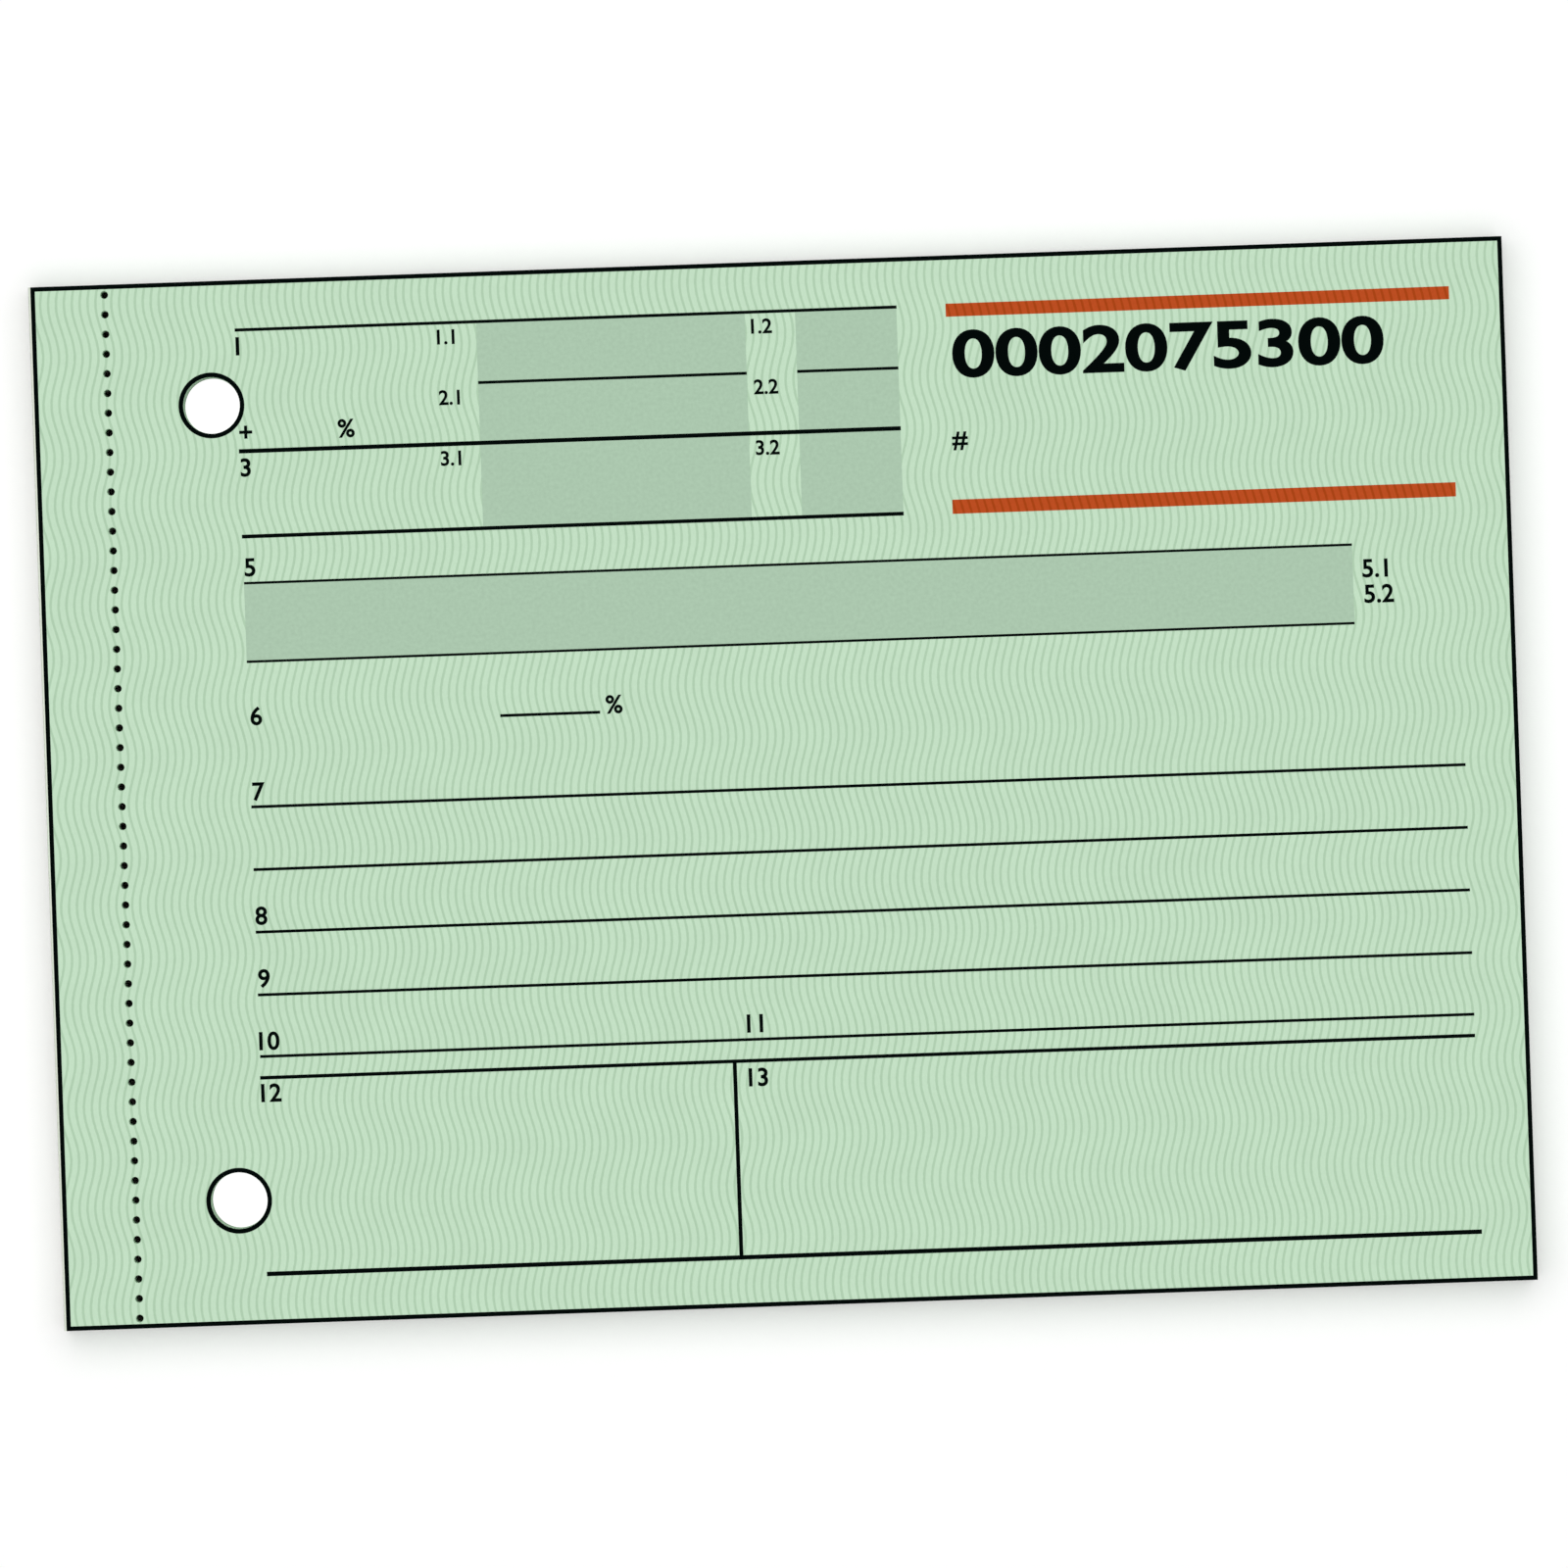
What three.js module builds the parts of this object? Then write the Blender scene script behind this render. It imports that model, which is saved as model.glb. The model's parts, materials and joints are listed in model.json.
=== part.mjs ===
// A cash receipt pad of A6 landscape sheets. The sheets lie on a grey board and are held by a film of
// padding glue along their left edge. Each sheet has a row of perforation holes near that edge and two
// filing holes beside the row. Millimetres, +Z up, origin at the middle of the footprint on the table.
import * as THREE from "three";

// The sheet, A6 landscape
const sheetLength = 148;
const sheetWidth = 105;
const sheetThickness = 0.1;

// The stack. The turning leaves are the top sheets that are cut apart at their perforation.
const sheetCount = 50;
const turningLeafCount = 3;
const boardThickness = 0.8;

// The film of padding glue on the bound edge: thickest half way up, thin along its top and bottom
const glueThickness = 0.3;
const glueEdgeThickness = 0.12;
const glueArcSteps = 6;

// The row of perforation holes, measured from the bound edge
const perforationInset = 7.4;
const perforationPitch = 1.98;
const perforationHoleDiameter = 0.66;
const perforationHalfSteps = 3;

// The two filing holes, measured from the bound edge
const filingHoleInset = 17.8;
const filingHoleSpacing = 80;
const filingHoleDiameter = 5.8;
const filingHoleSides = 16;

// Places that follow from the sizes
const boundEdgeX = (glueThickness - sheetLength) / 2;
const freeEdgeX = boundEdgeX + sheetLength;
const halfWidth = sheetWidth / 2;
const perforationX = boundEdgeX + perforationInset;
const perforationRadius = perforationHoleDiameter / 2;
const perforationCount = Math.floor(sheetWidth / perforationPitch);
const filingHoleX = boundEdgeX + filingHoleInset;
const stackHeight = boardThickness + sheetCount * sheetThickness;

const receiptPaper = new THREE.MeshStandardMaterial({ color: 0xc5e3c6, roughness: 0.85, metalness: 0 });
const greyBoard = new THREE.MeshStandardMaterial({ color: 0x8d8a82, roughness: 0.9, metalness: 0 });
const paddingGlue = new THREE.MeshStandardMaterial({ color: 0xe9e8de, roughness: 0.45, metalness: 0 });

// Points along an arc round (x, y), both ends included
function arcPoints(x, y, radius, fromAngle, toAngle, steps) {
  return Array.from({ length: steps + 1 }, (_, i) => {
    const angle = fromAngle + ((toAngle - fromAngle) * i) / steps;
    return new THREE.Vector2(x + radius * Math.cos(angle), y + radius * Math.sin(angle));
  });
}

function roundHole(x, y, radius, sides) {
  const points = arcPoints(x, y, radius, 0, 2 * Math.PI, sides);
  points.pop();
  return new THREE.Path(points);
}

// The Y of each perforation hole, from the near end of the row to the far end
function perforationRow() {
  const first = (-(perforationCount - 1) / 2) * perforationPitch;
  return Array.from({ length: perforationCount }, (_, i) => first + i * perforationPitch);
}

function filingHoles() {
  return [-1, 1].map((side) =>
    roundHole(filingHoleX, (side * filingHoleSpacing) / 2, filingHoleDiameter / 2, filingHoleSides),
  );
}

// The edge along the perforation line, from the near end to the far end. Half of every perforation hole
// is cut into it: towards the leaf where side is 1, and towards the stub where side is -1.
function perforatedEdge(side) {
  const halfHoles = perforationRow().flatMap((y) =>
    arcPoints(perforationX, y, perforationRadius, -Math.PI / 2, Math.PI / 2, perforationHalfSteps).map(
      (p) => new THREE.Vector2(perforationX + side * (p.x - perforationX), p.y),
    ),
  );
  const near = new THREE.Vector2(perforationX, -halfWidth);
  const far = new THREE.Vector2(perforationX, halfWidth);
  return [near, ...halfHoles, far];
}

// The part of a sheet that is written on and torn off
function leafShape() {
  const farCorner = new THREE.Vector2(freeEdgeX, halfWidth);
  const nearCorner = new THREE.Vector2(freeEdgeX, -halfWidth);
  const shape = new THREE.Shape([...perforatedEdge(1), farCorner, nearCorner]);
  shape.holes = filingHoles();
  return shape;
}

// The strip of a sheet that stays in the glue
function stubShape() {
  const farCorner = new THREE.Vector2(boundEdgeX, halfWidth);
  const nearCorner = new THREE.Vector2(boundEdgeX, -halfWidth);
  return new THREE.Shape([...perforatedEdge(-1), farCorner, nearCorner]);
}

function wholeSheetShape(isPerforated) {
  const shape = new THREE.Shape([
    new THREE.Vector2(boundEdgeX, -halfWidth),
    new THREE.Vector2(freeEdgeX, -halfWidth),
    new THREE.Vector2(freeEdgeX, halfWidth),
    new THREE.Vector2(boundEdgeX, halfWidth),
  ]);
  const perforation = perforationRow().map((y) =>
    roundHole(perforationX, y, perforationRadius, 2 * perforationHalfSteps),
  );
  shape.holes = isPerforated ? [...filingHoles(), ...perforation] : filingHoles();
  return shape;
}

// A flat piece with its underside at height z
function flatPiece(name, shape, thickness, material, z) {
  const geometry = new THREE.ExtrudeGeometry(shape, { depth: thickness, bevelEnabled: false });
  const mesh = new THREE.Mesh(geometry, material);
  mesh.name = name;
  mesh.position.z = z;
  return mesh;
}

// The section of the glue film lies in X and Z, flat against the paper and bowed outwards.
function spineGlue() {
  const bow = glueThickness - glueEdgeThickness;
  const outerFace = Array.from({ length: glueArcSteps + 1 }, (_, i) => {
    const share = i / glueArcSteps;
    const depth = glueEdgeThickness + bow * Math.sin(Math.PI * share);
    return new THREE.Vector2(boundEdgeX - depth, stackHeight * (1 - share));
  });
  const section = new THREE.Shape([
    new THREE.Vector2(boundEdgeX, 0),
    new THREE.Vector2(boundEdgeX, stackHeight),
    ...outerFace,
  ]);
  const geometry = new THREE.ExtrudeGeometry(section, { depth: sheetWidth, bevelEnabled: false });
  geometry.rotateX(Math.PI / 2);
  const mesh = new THREE.Mesh(geometry, paddingGlue);
  mesh.name = "spine_glue";
  mesh.position.y = halfWidth;
  return mesh;
}

function sheetNumber(index) {
  return String(index).padStart(2, "0");
}

const pad = new THREE.Group();
pad.name = "cash_receipt_pad";
pad.add(flatPiece("backing_board", wholeSheetShape(false), boardThickness, greyBoard, 0));
pad.add(spineGlue());

// Sheet 1 is the top one
for (let number = 1; number <= sheetCount; number++) {
  const underside = boardThickness + (sheetCount - number) * sheetThickness;
  const label = sheetNumber(number);
  if (number <= turningLeafCount) {
    pad.add(flatPiece(`stub_${label}`, stubShape(), sheetThickness, receiptPaper, underside));
    pad.add(flatPiece(`leaf_${label}`, leafShape(), sheetThickness, receiptPaper, underside));
  } else {
    const isPerforated = number === turningLeafCount + 1;
    pad.add(
      flatPiece(`sheet_${label}`, wholeSheetShape(isPerforated), sheetThickness, receiptPaper, underside),
    );
  }
}

export default pad;
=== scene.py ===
import json
import math
import random

import bpy
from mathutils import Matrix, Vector


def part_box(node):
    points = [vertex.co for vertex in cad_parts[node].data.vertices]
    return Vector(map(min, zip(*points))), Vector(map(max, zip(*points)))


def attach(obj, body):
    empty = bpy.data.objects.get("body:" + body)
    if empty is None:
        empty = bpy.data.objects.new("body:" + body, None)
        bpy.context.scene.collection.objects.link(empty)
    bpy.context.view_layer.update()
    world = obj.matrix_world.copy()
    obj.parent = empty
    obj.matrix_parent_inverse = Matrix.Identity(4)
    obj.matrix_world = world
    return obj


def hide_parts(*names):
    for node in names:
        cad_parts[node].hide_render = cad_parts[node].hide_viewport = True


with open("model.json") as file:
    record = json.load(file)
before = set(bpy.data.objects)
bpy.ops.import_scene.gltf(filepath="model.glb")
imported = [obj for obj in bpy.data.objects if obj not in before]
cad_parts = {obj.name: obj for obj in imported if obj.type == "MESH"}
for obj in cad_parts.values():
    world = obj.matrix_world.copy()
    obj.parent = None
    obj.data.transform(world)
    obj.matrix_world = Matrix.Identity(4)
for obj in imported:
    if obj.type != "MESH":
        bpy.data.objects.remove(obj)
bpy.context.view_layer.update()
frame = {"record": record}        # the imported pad: board, glue film, leaves, stubs and whole sheets
mm = 0.001

# Places that the frame gives
leafLow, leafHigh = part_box("leaf_01")
stubLow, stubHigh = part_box("stub_01")
sheetLow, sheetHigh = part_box("sheet_04")
boardLow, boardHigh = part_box("backing_board")
glueLow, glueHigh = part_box("spine_glue")
paperThickness = leafHigh.z - leafLow.z
inkRoom = 0.014 * mm     # printed paper is this much thinner, so that no ink stands above its sheet
for corner in (leafHigh, stubHigh, sheetHigh):
    corner.z -= inkRoom
openings = frame["record"]["physics"]["openings"]
filingHoles = [(Vector(o["box_m"][0]) + Vector(o["box_m"][1])) / 2 for o in openings]
looseLeaves = (1, 2, 3)  # the sheets cut along their perforation, counted from the top


def clearSelection():
    bpy.ops.object.select_all(action="DESELECT")


def pick(*objects):      # selects these, the first one active
    clearSelection()
    for obj in objects:
        obj.select_set(True)
    bpy.context.view_layer.objects.active = objects[0]


def openMesh(obj):       # into edit mode, with all of the mesh selected
    pick(obj)
    bpy.ops.object.mode_set(mode="EDIT")
    bpy.ops.mesh.select_all(action="SELECT")


def closeMesh():
    bpy.ops.object.mode_set(mode="OBJECT")


def settle(obj):         # the place goes into the mesh
    pick(obj)
    bpy.ops.object.transform_apply(location=True, rotation=True, scale=True)


def callPiece(obj, name):
    obj.name = name
    obj.data.name = name


def joinPieces(name, pieces):
    pick(*pieces)
    bpy.ops.object.join()
    callPiece(pieces[0], name)
    return pieces[0]


def copyPiece(obj, name, shift):
    pick(obj)
    bpy.ops.object.duplicate(linked=False)
    twin = bpy.context.active_object
    bpy.ops.transform.translate(value=shift)
    settle(twin)
    callPiece(twin, name)
    return twin


def throwAway(pieces):
    pick(*pieces)
    bpy.ops.object.delete()


def addModifier(kind):   # on the active piece
    bpy.ops.object.modifier_add(type=kind)
    return bpy.context.active_object.modifiers[-1]


def applyLast(obj):      # applies the modifier that was added last
    bpy.ops.object.modifier_apply(modifier=obj.modifiers[-1].name)


def coat(obj, *materials):
    obj.data.materials.clear()
    for material in materials:
        obj.data.materials.append(material)


def placePiece(obj, body, replaced=()):
    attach(obj, body)
    if replaced:
        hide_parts(*replaced)


def onSheet(x, y):       # millimetres from the sheet's top left corner, to metres in the frame
    return stubLow.x + x * mm, stubHigh.y - y * mm


def linearColour(code):  # "#C3E0C4" to linear red, green, blue, alpha
    channels = [int(code[i:i + 2], 16) / 255 for i in (1, 3, 5)]
    linear = (c / 12.92 if c <= 0.04045 else ((c + 0.055) / 1.055) ** 2.4 for c in channels)
    return (*linear, 1.0)


def newMaterial(name, look):
    material = bpy.data.materials.new(name)
    material.use_nodes = True
    material.diffuse_color = linearColour(look["colour"])
    shader = material.node_tree.nodes["Principled BSDF"]
    shader.inputs["Base Color"].default_value = linearColour(look["colour"])
    shader.inputs["Roughness"].default_value = sum(look["roughness"]) / 2
    shader.inputs["Specular IOR Level"].default_value = look["shine"]
    return material, material.node_tree, shader


def feed(tree, socket, value):     # a link where the value is a socket, else a constant
    if isinstance(value, bpy.types.NodeSocket):
        tree.links.new(value, socket)
    else:
        socket.default_value = value


def mathNode(tree, operation, first, second=0.0):
    node = tree.nodes.new("ShaderNodeMath")
    node.operation = operation
    feed(tree, node.inputs[0], first)
    feed(tree, node.inputs[1], second)
    return node.outputs[0]


def mapNode(tree, value, fromLow, fromHigh, toLow, toHigh):
    node = tree.nodes.new("ShaderNodeMapRange")
    feed(tree, node.inputs["Value"], value)
    node.inputs["From Min"].default_value = fromLow
    node.inputs["From Max"].default_value = fromHigh
    node.inputs["To Min"].default_value = toLow
    node.inputs["To Max"].default_value = toHigh
    return node.outputs["Result"]


def mixNode(tree, factor, first, second, blend="MIX"):
    node = tree.nodes.new("ShaderNodeMix")
    node.data_type = "RGBA"
    node.blend_type = blend
    feed(tree, node.inputs["Factor"], factor)
    feed(tree, node.inputs[6], first)
    feed(tree, node.inputs[7], second)
    return node.outputs[2]


def placeAxes(tree):     # the place on the piece, in metres along X, Y and Z
    place = tree.nodes.new("ShaderNodeTexCoord")
    split = tree.nodes.new("ShaderNodeSeparateXYZ")
    tree.links.new(place.outputs["Object"], split.inputs[0])
    return split.outputs


def noiseNode(tree, scale, detail, stretch=(1, 1, 1)):
    place = tree.nodes.new("ShaderNodeTexCoord")
    mapping = tree.nodes.new("ShaderNodeMapping")
    mapping.inputs["Scale"].default_value = stretch
    noise = tree.nodes.new("ShaderNodeTexNoise")
    noise.inputs["Scale"].default_value = scale
    noise.inputs["Detail"].default_value = detail
    tree.links.new(place.outputs["Object"], mapping.inputs["Vector"])
    tree.links.new(mapping.outputs["Vector"], noise.inputs["Vector"])
    return noise.outputs["Fac"]


def spread(tree, noise, low, high, span=(0.3, 0.7)):   # the noise's middle part, from low to high
    return mapNode(tree, noise, *span, low, high)


def bumpNode(tree, shader, height, strength, depth):
    node = tree.nodes.new("ShaderNodeBump")
    node.inputs["Strength"].default_value = strength
    node.inputs["Distance"].default_value = depth * mm
    feed(tree, node.inputs["Height"], height)
    tree.links.new(node.outputs["Normal"], shader.inputs["Normal"])


waves = {                # the security lines, in millimetres on the sheet
    "pitch": 0.794,
    "lineWidth": 0.25,
    "swing": 0.46,
    "period": 10.1,
    "swingStart": 19.65,
    "sideways": -0.21,
    "wobble": 0.02,      # as a share of the pitch
    "wobbleNoise": (3000, 2),
    "softEdge": 0.15,    # as a share of half the line
}


def waveMask(tree):      # 1 on a security line, 0 between two
    axes = placeAxes(tree)
    pitch = waves["pitch"]
    across = mathNode(tree, "SUBTRACT", axes["X"], stubLow.x - waves["sideways"] * mm)
    down = mathNode(tree, "SUBTRACT", stubHigh.y - waves["swingStart"] * mm, axes["Y"])
    turn = mathNode(tree, "MULTIPLY", down, 2 * math.pi / (waves["period"] * mm))
    swing = mathNode(tree, "MULTIPLY", mathNode(tree, "SINE", turn), waves["swing"] / pitch)
    lines = mathNode(tree, "ADD", mathNode(tree, "MULTIPLY", across, 1 / (pitch * mm)), swing)
    noise = noiseNode(tree, *waves["wobbleNoise"])
    wobble = spread(tree, noise, -waves["wobble"], waves["wobble"])
    share = mathNode(tree, "FRACT", mathNode(tree, "ADD", lines, wobble))
    fromMiddle = mathNode(tree, "ABSOLUTE", mathNode(tree, "SUBTRACT", share, 0.5))
    halfLine = waves["lineWidth"] / pitch / 2
    soft = waves["softEdge"]
    return mapNode(tree, fromMiddle, halfLine * (1 - soft), halfLine * (1 + soft), 1.0, 0.0)


paper = {                # noises are scale, detail and stretch
    "colour": "#C3E0C4",
    "lineColour": "#AFCEB0",
    "roughness": (0.78, 0.92),
    "shine": 0.25,
    "cloudNoise": (260, 3),
    "clouds": (0.985, 1.012),        # darkest and lightest
    "fibreNoise": (5200, 3, (1, 0.35, 1)),
    "fibres": (0.98, 1.015),
    "toothNoise": (6500, 4),
    "tooth": (0.25, 0.02),           # strength, and depth in millimetres
    "sheetShades": (0.9, 1.03),      # of the cut edges, one sheet to the next
}


def finishPaper(tree, shader, colour):
    clouds = spread(tree, noiseNode(tree, *paper["cloudNoise"]), *paper["clouds"])
    fibres = spread(tree, noiseNode(tree, *paper["fibreNoise"]), *paper["fibres"])
    shade = mathNode(tree, "MULTIPLY", clouds, fibres)
    tree.links.new(mixNode(tree, 1.0, colour, shade, "MULTIPLY"), shader.inputs["Base Color"])
    tooth = noiseNode(tree, *paper["toothNoise"])
    feed(tree, shader.inputs["Roughness"], spread(tree, tooth, *paper["roughness"]))
    bumpNode(tree, shader, tooth, *paper["tooth"])


def plainPaper():        # backs and cut edges
    material, tree, shader = newMaterial("pale_green_paper", paper)
    finishPaper(tree, shader, linearColour(paper["colour"]))
    return material


def printedPaper():      # the face with the security lines
    material, tree, shader = newMaterial("security_paper", paper)
    plain, line = linearColour(paper["colour"]), linearColour(paper["lineColour"])
    finishPaper(tree, shader, mixNode(tree, waveMask(tree), plain, line))
    return material


def stackedPaper():      # the lower sheets, each a little lighter or darker
    material, tree, shader = newMaterial("stacked_paper", paper)
    height = mathNode(tree, "SUBTRACT", placeAxes(tree)["Z"], boardHigh.z)
    level = mathNode(tree, "FLOOR", mathNode(tree, "DIVIDE", height, paperThickness))
    dice = tree.nodes.new("ShaderNodeTexWhiteNoise")
    dice.noise_dimensions = "1D"
    tree.links.new(level, dice.inputs["W"])
    shade = mapNode(tree, dice.outputs["Value"], 0, 1, *paper["sheetShades"])
    finishPaper(tree, shader, mixNode(tree, 1.0, linearColour(paper["colour"]), shade, "MULTIPLY"))
    return material


inks = {                 # thickness in millimetres, blotches from darkest to lightest
    "black": {"colour": "#040A09", "roughness": (0.49, 0.63), "shine": 0.0, "thickness": 0.012,
              "blotches": (0.95, 1.04)},
    "tint": {"colour": "#ACC8AF", "roughness": (0.74, 0.88), "shine": 0.0, "thickness": 0.006,
             "blotches": (0.95, 1.04)},
    "orange": {"colour": "#BC4E22", "roughness": (0.64, 0.78), "shine": 0.0, "thickness": 0.008,
               "blotches": (0.96, 1.03), "lineColour": "#A94416"},
}
inkGrain = {"blotchNoise": (2600, 3), "toothNoise": (6500, 4)}


def printingInk(kind):   # ink that took a little unevenly
    ink = inks[kind]
    material, tree, shader = newMaterial(f"{kind}_ink", ink)
    colour = linearColour(ink["colour"])
    if "lineColour" in ink:        # the security lines show through
        colour = mixNode(tree, waveMask(tree), colour, linearColour(ink["lineColour"]))
    blotches = spread(tree, noiseNode(tree, *inkGrain["blotchNoise"]), *ink["blotches"])
    tree.links.new(mixNode(tree, 1.0, colour, blotches, "MULTIPLY"), shader.inputs["Base Color"])
    tooth = noiseNode(tree, *inkGrain["toothNoise"])
    feed(tree, shader.inputs["Roughness"], spread(tree, tooth, *ink["roughness"]))
    return material


boardLook = {            # each layer: colour, noise, the noise's span, strongest share
    "colour": "#8F8B83",
    "layers": [
        ("#6E6A62", (180, 4), (0.3, 0.7), 0.45),                       # clouds
        ("#B9B5AB", (1500, 5, (0.25, 1, 1)), (0.58, 0.72), 0.5),       # pale fibres
        ("#4A4742", (3800, 2), (0.66, 0.74), 0.7),                     # dark specks
    ],
    "roughnessNoise": (2500, 3),
    "roughness": (0.85, 0.97),
    "shine": 0.2,
    "pressedNoise": (2200, 5, (0.4, 1, 1)),
    "pressed": (0.5, 0.06),          # strength, and depth in millimetres
}


def greyBoard():         # pressed waste paper
    look = boardLook
    material, tree, shader = newMaterial("grey_board", look)
    colour = linearColour(look["colour"])
    for code, noise, span, share in look["layers"]:
        mask = spread(tree, noiseNode(tree, *noise), 0.0, share, span)
        colour = mixNode(tree, mask, colour, linearColour(code))
    tree.links.new(colour, shader.inputs["Base Color"])
    roughness = spread(tree, noiseNode(tree, *look["roughnessNoise"]), *look["roughness"])
    feed(tree, shader.inputs["Roughness"], roughness)
    bumpNode(tree, shader, noiseNode(tree, *look["pressedNoise"]), *look["pressed"])
    return material


glueLook = {
    "colour": "#E6E6DA",
    "overPaper": "#C9DBC4",
    "overBoard": "#B4B1A6",
    "blend": 0.05,                   # millimetres above and below the board's top
    "streakNoise": (900, 3, (1, 0.08, 1)),
    "cloudy": (0.2, 0.8),
    "roughness": (0.3, 0.55),
    "shine": 0.5,
    "ridges": 0.12,                  # how far the sheets' edges show against the streaks
    "relief": (0.6, 0.05),           # strength, and depth in millimetres
}


def paddingGlue():       # brushed on: streaks along the edge, and the sheets' edges show through
    look = glueLook
    material, tree, shader = newMaterial("padding_glue", look)
    streaks = noiseNode(tree, *look["streakNoise"])
    height = placeAxes(tree)["Z"]
    blend = look["blend"] * mm
    overPaper = mapNode(tree, height, boardHigh.z - blend, boardHigh.z + blend, 0, 1)
    boardShade, paperShade = linearColour(look["overBoard"]), linearColour(look["overPaper"])
    under = mixNode(tree, overPaper, boardShade, paperShade)
    cloudy = spread(tree, streaks, *look["cloudy"])
    colour = mixNode(tree, cloudy, under, linearColour(look["colour"]))
    tree.links.new(colour, shader.inputs["Base Color"])
    feed(tree, shader.inputs["Roughness"], spread(tree, streaks, *look["roughness"]))
    turns = mathNode(tree, "MULTIPLY", height, 2 * math.pi / paperThickness)
    ridges = mathNode(tree, "MULTIPLY", mathNode(tree, "SINE", turns), look["ridges"])
    bumpNode(tree, shader, mathNode(tree, "ADD", ridges, streaks), *look["relief"])
    return material


paperPlain = plainPaper()
paperFront = printedPaper()
paperStack = stackedPaper()
inkMaterials = {kind: printingInk(kind) for kind in inks}
boardFinish = greyBoard()
glueFinish = paddingGlue()
print("materials made")


punching = {             # millimetres
    "perforationPitch": 1.98,
    "perforationDiameter": 0.8,
    "perforationSides": 16,
    "lowerPerforationSides": 8,
    "filingDiameter": 5.7,
    "filingSides": 64,
    "overrun": 0.5,      # how far a punch passes through on each side
    "smoothAngle": 35,   # degrees
}


def addPunches(low, high, perforationSides):     # the perforation's row and the filing pair
    bottom = low - punching["overrun"] * mm
    top = high + punching["overrun"] * mm
    pitch = punching["perforationPitch"] * mm
    count = int((stubHigh.y - stubLow.y) / pitch)
    first, second = filingHoles
    rows = [             # sides, diameter, place along X, first place and step along Y, copies
        (perforationSides, punching["perforationDiameter"],
         leafLow.x, -(count - 1) / 2 * pitch, pitch, count),
        (punching["filingSides"], punching["filingDiameter"],
         first.x, first.y, second.y - first.y, len(filingHoles)),
    ]
    punches = []
    for sides, diameter, x, firstY, step, copies in rows:
        clearSelection()
        bpy.ops.mesh.primitive_cylinder_add(
            vertices=sides, radius=diameter / 2 * mm, depth=top - bottom,
            location=(x, firstY, (bottom + top) / 2))
        punch = bpy.context.active_object
        settle(punch)
        row = addModifier("ARRAY")
        row.use_relative_offset = False
        row.use_constant_offset = True
        row.constant_offset_displace = (0, step, 0)
        row.count = copies
        applyLast(punch)
        punches.append(punch)
    return punches


def addSlab(name, low, high):
    clearSelection()
    bpy.ops.mesh.primitive_cube_add(size=1, location=(low + high) / 2)
    slab = bpy.context.active_object
    slab.scale = high - low
    settle(slab)
    callPiece(slab, name)
    return slab


def punchOut(slab, punches):
    pick(slab)
    for punch in punches:
        cut = addModifier("BOOLEAN")
        cut.operation = "DIFFERENCE"
        cut.solver = "EXACT"
        cut.object = punch
        applyLast(slab)
    bpy.ops.object.shade_smooth_by_angle(angle=math.radians(punching["smoothAngle"]))


printedSide = {
    "facingUp": 0.9,     # a face that looks up more than this carries the print
    "mapMargin": 0.002,  # shares of the sheet's own map, in which an export keeps its finish
    "mapGap": 0.006,
    "mapAngle": 66,      # degrees
}


def paintPaper(obj):
    coat(obj, paperPlain, paperFront)
    for face in obj.data.polygons:
        face.material_index = 1 if face.normal.z > printedSide["facingUp"] else 0


def unfoldSheet(obj, low, high):   # the printed side fills most of the map, back and edges the rest
    layers = obj.data.uv_layers
    layers.remove(layers[0])
    layers.new(name="OFBake")
    openMesh(obj)
    bpy.ops.mesh.select_all(action="DESELECT")
    obj.active_material_index = 0
    bpy.ops.object.material_slot_select()
    bpy.ops.uv.smart_project(angle_limit=math.radians(printedSide["mapAngle"]),
                             island_margin=printedSide["mapGap"], scale_to_bounds=True)
    closeMesh()
    unfolded = obj.data.uv_layers["OFBake"].uv
    margin = printedSide["mapMargin"]
    scale = (1 - 2 * margin) / (high.x - low.x)
    printed = (high.y - low.y) * scale + 4 * margin
    for face in obj.data.polygons:
        for corner in face.loop_indices:
            if face.material_index == 1:
                place = obj.data.vertices[obj.data.loops[corner].vertex_index].co
                u, v = margin + (place.x - low.x) * scale, margin + (place.y - low.y) * scale
            else:
                u, v = unfolded[corner].vector
                v = printed + v * (1 - margin - printed)
            unfolded[corner].vector = (u, v)


topPunches = addPunches(boardLow.z, leafHigh.z, punching["perforationSides"])
leafPaper = addSlab("leaf_01_paper", leafLow, leafHigh)
stubPaper = addSlab("stub_01_paper", stubLow, stubHigh)
wholePaper = addSlab("sheet_04_paper", sheetLow, sheetHigh)
for sheet in (leafPaper, stubPaper, wholePaper):
    punchOut(sheet, topPunches)
    paintPaper(sheet)
unfoldSheet(leafPaper, leafLow, leafHigh)
unfoldSheet(wholePaper, sheetLow, sheetHigh)
print("leaf, stub and whole sheet punched")

boardRim = {"rounding": 0.06, "segments": 2}     # millimetres, what the knife leaves

board = addSlab("board", boardLow, boardHigh)
rim = addModifier("BEVEL")
rim.width = boardRim["rounding"] * mm
rim.segments = boardRim["segments"]
applyLast(board)
punchOut(board, topPunches[1:])
coat(board, boardFinish)
throwAway(topPunches)
print("board cut and punched")


def sheetDrop(number):   # how far a sheet lies below the top one
    return Vector((0, 0, -(number - 1) * paperThickness))


leafPapers = [leafPaper]
stubPapers = [stubPaper]
for number in looseLeaves[1:]:
    leafPapers.append(copyPiece(leafPaper, f"leaf_{number:02d}_paper", sheetDrop(number)))
    stubPapers.append(copyPiece(stubPaper, f"stub_{number:02d}_paper", sheetDrop(number)))

stack = {                # the sheets under the printed ones, in millimetres
    "first": 5,
    "last": 50,
    "trim": 0.04,        # off the three open edges, so that no sheet stands out of the pad
    "shift": 0.03,       # how far a sheet lies out of line
    "seed": 11,
}


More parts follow.
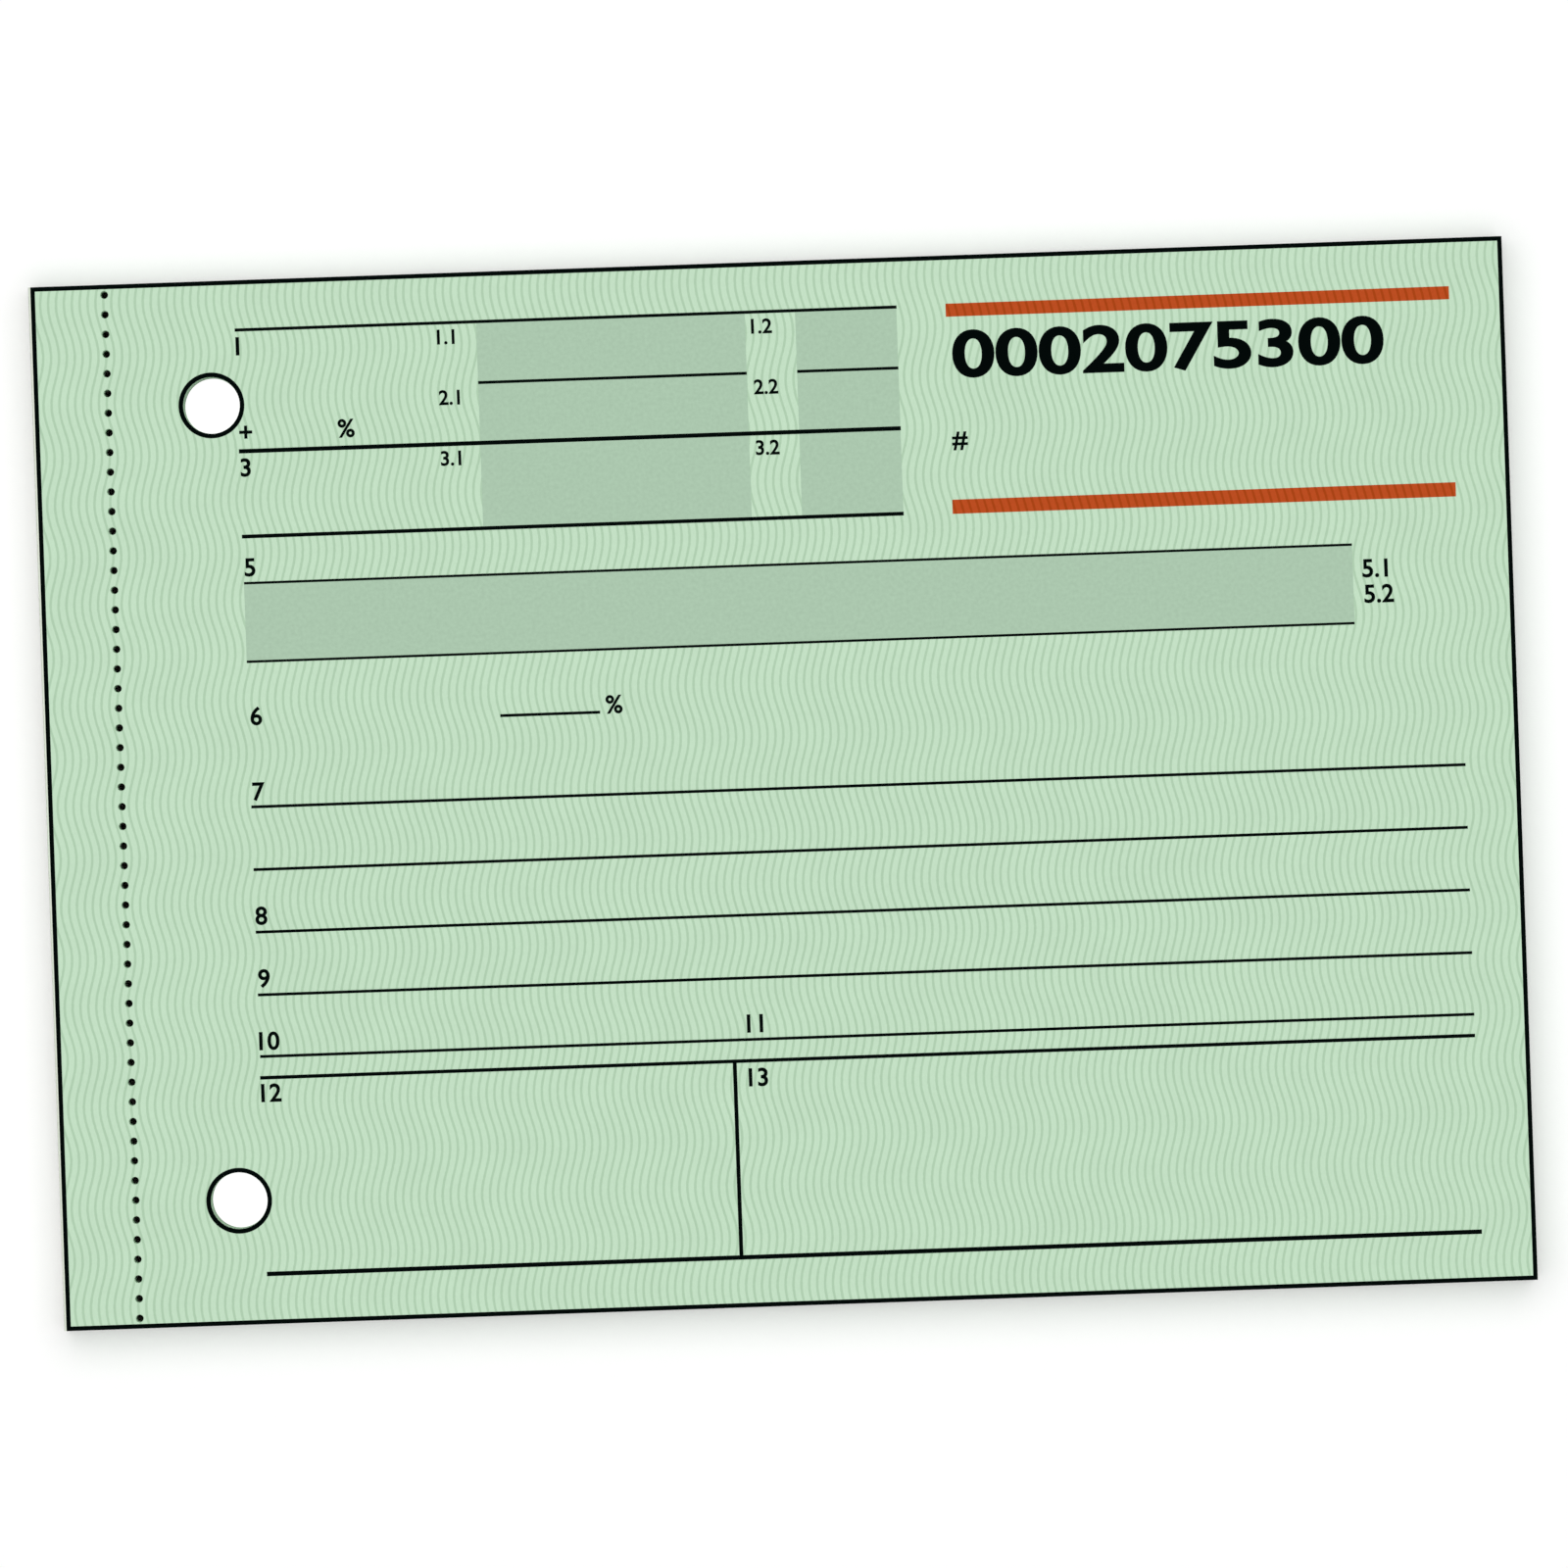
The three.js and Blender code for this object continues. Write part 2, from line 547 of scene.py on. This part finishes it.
def addLowerSheets():
    dice = random.Random(stack["seed"])
    trim = stack["trim"] * mm
    low = sheetLow + Vector((0, trim, -paperThickness))
    high = sheetHigh - Vector((trim, trim, paperThickness))
    first = addSlab("lower_sheets", low, high)
    punches = addPunches(low.z, high.z, punching["lowerPerforationSides"])
    punchOut(first, punches)
    throwAway(punches)
    sheets = [first]
    for number in range(stack["first"] + 1, stack["last"] + 1):
        away = Vector((dice.uniform(-1, 1), dice.uniform(-1, 1), 0)) * stack["shift"] * mm
        down = Vector((0, 0, -(number - stack["first"]) * paperThickness))
        sheets.append(copyPiece(first, f"lower_sheet_{number:02d}", away + down))
    return joinPieces("lower_sheets", sheets)


lowerSheets = addLowerSheets()
coat(lowerSheets, paperStack)
print("lower sheets stacked")


def thicken(patch, height):
    openMesh(patch)
    bpy.ops.mesh.extrude_region_move(TRANSFORM_OT_translate={"value": (0, 0, height)})
    bpy.ops.mesh.select_all(action="SELECT")
    bpy.ops.mesh.normals_make_consistent(inside=False)
    closeMesh()


def addPatch(left, top, right, bottom, kind):    # a printed rectangle, in sheet millimetres
    x0, y0 = onSheet(left, top)
    x1, y1 = onSheet(right, bottom)
    clearSelection()
    bpy.ops.mesh.primitive_plane_add(size=1, location=((x0 + x1) / 2, (y0 + y1) / 2, leafHigh.z))
    patch = bpy.context.active_object
    patch.scale = (x1 - x0, y0 - y1, 1)
    settle(patch)
    thicken(patch, inks[kind]["thickness"] * mm)
    coat(patch, inkMaterials[kind])
    return patch


def addRule(left, right, y, width):
    return addPatch(left, y - width / 2, right, y + width / 2, "black")


def addRing(hole, inner, width):   # the black ring printed round a filing hole
    clearSelection()
    bpy.ops.mesh.primitive_circle_add(
        vertices=punching["filingSides"], radius=(inner / 2 + width) * mm, fill_type="NGON",
        location=(hole.x, hole.y, leafHigh.z))
    ring = bpy.context.active_object
    settle(ring)
    openMesh(ring)
    bpy.ops.mesh.inset(thickness=width * mm, depth=0)
    bpy.ops.mesh.delete(type="FACE")
    closeMesh()
    thicken(ring, inks["black"]["thickness"] * mm)
    coat(ring, inkMaterials["black"])
    return ring


figureShare = 0.73       # a figure's height as a share of its text size
figureMerge = 0.0005     # millimetres between two points of a figure that become one


def addFigures(words, left, baseline, height, look):
    x, y = onSheet(left, baseline)
    thickness = inks["black"]["thickness"] * mm
    clearSelection()
    bpy.ops.object.text_add(location=(0, 0, 0))
    text = bpy.context.active_object.data
    text.body = words
    text.size = height / figureShare * mm
    text.offset = look["bold"] * text.size
    text.resolution_u = look["curveSteps"]
    text.extrude = thickness / 2
    bpy.ops.object.convert(target="MESH")
    figures = bpy.context.active_object
    openMesh(figures)
    bpy.ops.mesh.remove_doubles(threshold=figureMerge * mm)
    closeMesh()
    if "width" in look:
        figures.scale.x = look["width"] * mm / figures.dimensions.x
        settle(figures)
    start = min(point.co.x for point in figures.data.vertices)
    figures.location = (x - start, y, leafHigh.z + thickness / 2)
    settle(figures)
    coat(figures, inkMaterials["black"])
    return figures


# The form, in millimetres from the sheet's top left corner. A rule is its y and its width.
outline = {"width": 0.45}          # the black line round the whole sheet

filingRing = {"width": 0.46}

amountTable = {
    "left": 20.4, "right": 86.98,
    "rules": [(5.01, 0.32), (17.21, 0.43), (25.79, 0.38)],
    "shortRule": (11.14, 0.3),
    "fields": [(44.68, 71.7), (76.76, 86.95)],                   # left and right
}

numberBox = {"left": 91.9, "right": 142.53, "bars": [(4.85, 6.17), (24.57, 26.0)]}

wordsField = {"left": 20.45, "right": 131.9, "top": 30.48, "bottom": 38.38, "rule": 0.25}

ruledLines = {
    "left": 20.4, "right": 142.55, "width": 0.295,
    "lines": [52.98, 59.29, 65.58, 71.89, 78.09],
    "blank": (45.73, 55.78, 44.68),                              # left, right and y
}

notesBox = {
    "left": 20.33, "right": 142.55,
    "top": (80.23, 0.36), "bottom": (99.96, 0.45),
    "divider": (68.07, 0.4),                                     # x and width
}

fieldNumbers = {                   # figures, left and baseline
    "large": [("1", 20.44, 7.51), ("+", 20.5, 16.2), ("%", 30.4, 16.12), ("3", 20.51, 19.72),
              ("#", 92.09, 19.36), ("5", 20.55, 29.76), ("5.1", 132.85, 33.77),
              ("5.2", 132.96, 36.34), ("6", 20.62, 44.73), ("%", 56.35, 44.79),
              ("7", 20.55, 52.31), ("8", 20.41, 64.81), ("9", 20.48, 71.11),
              ("10", 20.36, 77.41), ("11", 69.43, 77.35), ("12", 20.38, 82.63),
              ("13", 69.43, 82.76)],
    "small": [("1.1", 40.69, 7.13), ("1.2", 72.28, 7.15), ("2.1", 40.67, 13.23),
              ("2.2", 72.36, 13.25), ("3.1", 40.66, 19.34), ("3.2", 72.35, 19.36)],
    "largeHeight": 1.85,
    "smallHeight": 1.5,
    "bold": 0.022,                 # share of the text size; it fills a 4, so no label has one
    "curveSteps": 4,
}

serial = {                         # the running number, one more on each sheet
    "first": 2075300, "digits": 10,                              # bold breaks a 4 and an 8
    "left": 92.4, "baseline": 12.17, "height": 4.75, "width": 43.4,
    "bold": 0.024, "curveSteps": 8,
}


def addAmountTable():
    table = amountTable
    parts = [addRule(table["left"], table["right"], *rule) for rule in table["rules"]]
    edges = [table["rules"][0], table["shortRule"], *table["rules"][1:]]
    for left, right in table["fields"]:
        parts.append(addRule(left, right, *table["shortRule"]))
        for (top, topWidth), (bottom, bottomWidth) in zip(edges, edges[1:]):
            parts.append(addPatch(left, top + topWidth / 2,
                                  right, bottom - bottomWidth / 2, "tint"))
    return parts


def addWordsField():
    field = wordsField
    half = field["rule"] / 2
    parts = [addRule(field["left"], field["right"], field[edge], field["rule"])
             for edge in ("top", "bottom")]
    parts.append(addPatch(field["left"], field["top"] + half,
                          field["right"], field["bottom"] - half, "tint"))
    return parts


def addNotesBox():
    box = notesBox
    top, topWidth = box["top"]
    bottom, bottomWidth = box["bottom"]
    middle, width = box["divider"]
    return [
        addRule(box["left"], box["right"], top, topWidth),
        addRule(box["left"], box["right"], bottom, bottomWidth),
        addPatch(middle - width / 2, top + topWidth / 2,
                 middle + width / 2, bottom - bottomWidth / 2, "black"),
    ]


def addFormPrint():
    lines = ruledLines
    parts = addAmountTable()
    for top, bottom in numberBox["bars"]:
        parts.append(addPatch(numberBox["left"], top, numberBox["right"], bottom, "orange"))
    parts += addWordsField()
    for y in lines["lines"]:
        parts.append(addRule(lines["left"], lines["right"], y, lines["width"]))
    parts.append(addRule(*lines["blank"], lines["width"]))
    parts += addNotesBox()
    for size in ("large", "small"):
        height = fieldNumbers[size + "Height"]
        for words, left, baseline in fieldNumbers[size]:
            parts.append(addFigures(words, left, baseline, height, fieldNumbers))
    for hole in filingHoles:
        parts.append(addRing(hole, punching["filingDiameter"], filingRing["width"]))
    return parts


def addOutline(left, right, closedSide):
    length = (stubHigh.y - stubLow.y) / mm
    width = outline["width"]
    start = left if closedSide == "left" else right - width
    return [
        addPatch(left, 0, right, width, "black"),
        addPatch(left, length - width, right, length, "black"),
        addPatch(start, width, start + width, length - width, "black"),
    ]


def addSerial(number):
    words = str(serial["first"] + number - 1).zfill(serial["digits"])
    figures = addFigures(words, serial["left"], serial["baseline"], serial["height"], serial)
    pick(figures)
    bpy.ops.transform.translate(value=sheetDrop(number))
    settle(figures)
    return figures


stubWidth = (stubHigh.x - stubLow.x) / mm
sheetLength = (leafHigh.x - stubLow.x) / mm
leafForm = joinPieces("leaf_form", addFormPrint() + addOutline(stubWidth, sheetLength, "right"))
stubForm = joinPieces("stub_form", addOutline(0, stubWidth, "left"))
print("form printed")

leafPrints = []
stubPrints = []
for number in looseLeaves:
    form = copyPiece(leafForm, f"leaf_{number:02d}_form", sheetDrop(number))
    leafPrints.append(joinPieces(f"leaf_{number:02d}_print", [form, addSerial(number)]))
    stubPrints.append(copyPiece(stubForm, f"stub_{number:02d}_print", sheetDrop(number)))
wholeNumber = looseLeaves[-1] + 1  # the top one of the sheets that stay whole
form = copyPiece(leafForm, "sheet_04_form", sheetDrop(wholeNumber))
edge = copyPiece(stubForm, "sheet_04_edge", sheetDrop(wholeNumber))
wholePrint = joinPieces("sheet_04_print", [form, addSerial(wholeNumber), edge])
throwAway([leafForm, stubForm])
print("serial numbers printed")

glue = {
    "layers": [(0.12, 1.0), (0.1, 0.86), (0.06, 0.6)],   # millimetres thick, share of the height
    "lengthCuts": 150,
    "heightCuts": 8,
    "smoothAngle": 50,   # degrees
}


def addGlueFilm():
    clearSelection()
    middle = Vector((glueHigh.x, (glueLow.y + glueHigh.y) / 2, (glueLow.z + glueHigh.z) / 2))
    bpy.ops.mesh.primitive_grid_add(
        x_subdivisions=glue["heightCuts"], y_subdivisions=glue["lengthCuts"], size=1,
        location=middle, rotation=(0, math.radians(-90), 0))
    film = bpy.context.active_object
    film.scale = (glueHigh.z - glueLow.z, glueHigh.y - glueLow.y, 1)
    settle(film)
    openMesh(film)
    height = 1.0
    for out, share in glue["layers"]:
        bpy.ops.mesh.extrude_region_move(TRANSFORM_OT_translate={"value": (-out * mm, 0, 0)})
        bpy.ops.transform.resize(value=(1, 1, share / height), center_override=middle)
        height = share
    bpy.ops.mesh.select_all(action="SELECT")
    bpy.ops.mesh.normals_make_consistent(inside=False)
    closeMesh()
    bpy.ops.object.shade_smooth_by_angle(angle=math.radians(glue["smoothAngle"]))
    callPiece(film, "glue_film")
    coat(film, glueFinish)
    return film


glueFilm = addGlueFilm()
print("glue film laid on")

for index, number in enumerate(looseLeaves):
    placePiece(leafPapers[index], f"leaf_{number}", [f"leaf_{number:02d}"])
    placePiece(leafPrints[index], f"leaf_{number}")
    placePiece(stubPapers[index], "pad", [f"stub_{number:02d}"])
    placePiece(stubPrints[index], "pad")
placePiece(wholePaper, "pad", ["sheet_04"])
placePiece(wholePrint, "pad")
lowerNumbers = range(stack["first"], stack["last"] + 1)
placePiece(lowerSheets, "pad", [f"sheet_{n:02d}" for n in lowerNumbers])
placePiece(board, "pad", ["backing_board"])
placePiece(glueFilm, "pad", ["spine_glue"])
print("pieces ride on the frame")

studio = {               # metres, where nothing else is said
    "floorSize": 8.0,
    "floorDrop": 0.02,   # millimetres from the pad down to the floor
    "floorColour": 0.86,
    "floorGlow": 0.156,   # the share of white that the lens sees on the floor without any lamp
    "paintedGlowUnderPad": 0.75,            # more of it below the pad: painted light on the floor that lifts the shade inside the filing holes, so that they look white
    "padMargin": 5.0,    # millimetres from the pad's outline in to where that begins
    "worldStrength": 0.31,
    "softboxPower": 100.1,           # watts
    "softboxPlace": (0.0, 0.5, 3.0),
    "softboxSize": 4.7,
    "lensDistance": 1.5,
    "farthest": 100,
    "pixelsPerMillimetre": 10.15,
    "picturePixels": 1600,
    "pictureTurn": 2.0,  # degrees that the sheet is turned in the picture
    "offCentre": (0.0, -0.04),      # millimetres
}
floorLook = {"colour": "#FFFFFF", "roughness": (0.9, 0.9), "shine": 0.0}


def seenDirectly(tree):  # 1 for the lens, a reflection or a see-through surface, 0 for other light
    path = tree.nodes.new("ShaderNodeLightPath")
    direct = mathNode(tree, "MAXIMUM", path.outputs["Is Camera Ray"], path.outputs["Is Glossy Ray"])
    return mathNode(tree, "MAXIMUM", direct, path.outputs["Is Transmission Ray"])


def paintedLightPatch(tree):      # 1 on the floor below the pad, where painted light covers the shade in the filing holes, 0 beside it
    axes = placeAxes(tree)
    within = 1.0
    for axis, low, high in (("X", boardLow.x, boardHigh.x), ("Y", boardLow.y, boardHigh.y)):
        offMiddle = mathNode(tree, "SUBTRACT", axes[axis], (low + high) / 2)
        reach = (high - low) / 2 - studio["padMargin"] * mm
        inside = mathNode(tree, "LESS_THAN", mathNode(tree, "ABSOLUTE", offMiddle), reach)
        within = mathNode(tree, "MULTIPLY", inside, within)
    return within


def addFloor():
    clearSelection()
    bpy.ops.mesh.primitive_plane_add(size=studio["floorSize"],
                                     location=(0, 0, -studio["floorDrop"] * mm))
    floor = bpy.context.active_object
    settle(floor)
    floor.name = "floor"
    material, tree, shader = newMaterial("pale_floor", floorLook)
    white = studio["floorColour"]
    shader.inputs["Base Color"].default_value = (white, white, white, 1)
    shader.inputs["Emission Color"].default_value = (1, 1, 1, 1)
    # painted light: the floor glows more below the pad than beside it, which takes the shade out of
    # the filing holes
    share = mapNode(tree, paintedLightPatch(tree), 0, 1, studio["floorGlow"], studio["paintedGlowUnderPad"])
    glow = mathNode(tree, "MULTIPLY", seenDirectly(tree), share)
    tree.links.new(glow, shader.inputs["Emission Strength"])
    floor.data.materials.append(material)


def lightRoom():
    world = bpy.data.worlds.new("soft_room")
    bpy.context.scene.world = world
    world.use_nodes = True
    tree = world.node_tree
    background = tree.nodes["Background"]
    background.inputs["Color"].default_value = (1, 1, 1, 1)
    strength = mapNode(tree, seenDirectly(tree), 0, 1, studio["worldStrength"], 1.0)
    tree.links.new(strength, background.inputs["Strength"])
    clearSelection()
    bpy.ops.object.light_add(type="AREA", location=studio["softboxPlace"])
    softbox = bpy.context.active_object
    softbox.name = "softbox"
    softbox.data.shape = "DISK"
    softbox.data.energy = studio["softboxPower"]
    softbox.data.size = studio["softboxSize"]


def addCamera():
    pictureWidth = studio["picturePixels"] / studio["pixelsPerMillimetre"] * mm
    aside, down = studio["offCentre"]
    middle = (stubLow.x + leafHigh.x) / 2
    clearSelection()
    bpy.ops.object.camera_add(
        location=(middle + aside * mm, down * mm, leafHigh.z + studio["lensDistance"]),
        rotation=(0, 0, math.radians(-studio["pictureTurn"])))
    camera = bpy.context.active_object
    camera.data.lens = camera.data.sensor_width * studio["lensDistance"] / pictureWidth
    camera.data.clip_end = studio["farthest"]
    bpy.context.scene.camera = camera


addFloor()
lightRoom()
addCamera()
bpy.context.scene.view_settings.view_transform = "Standard"
print("studio set up")

clearSelection()
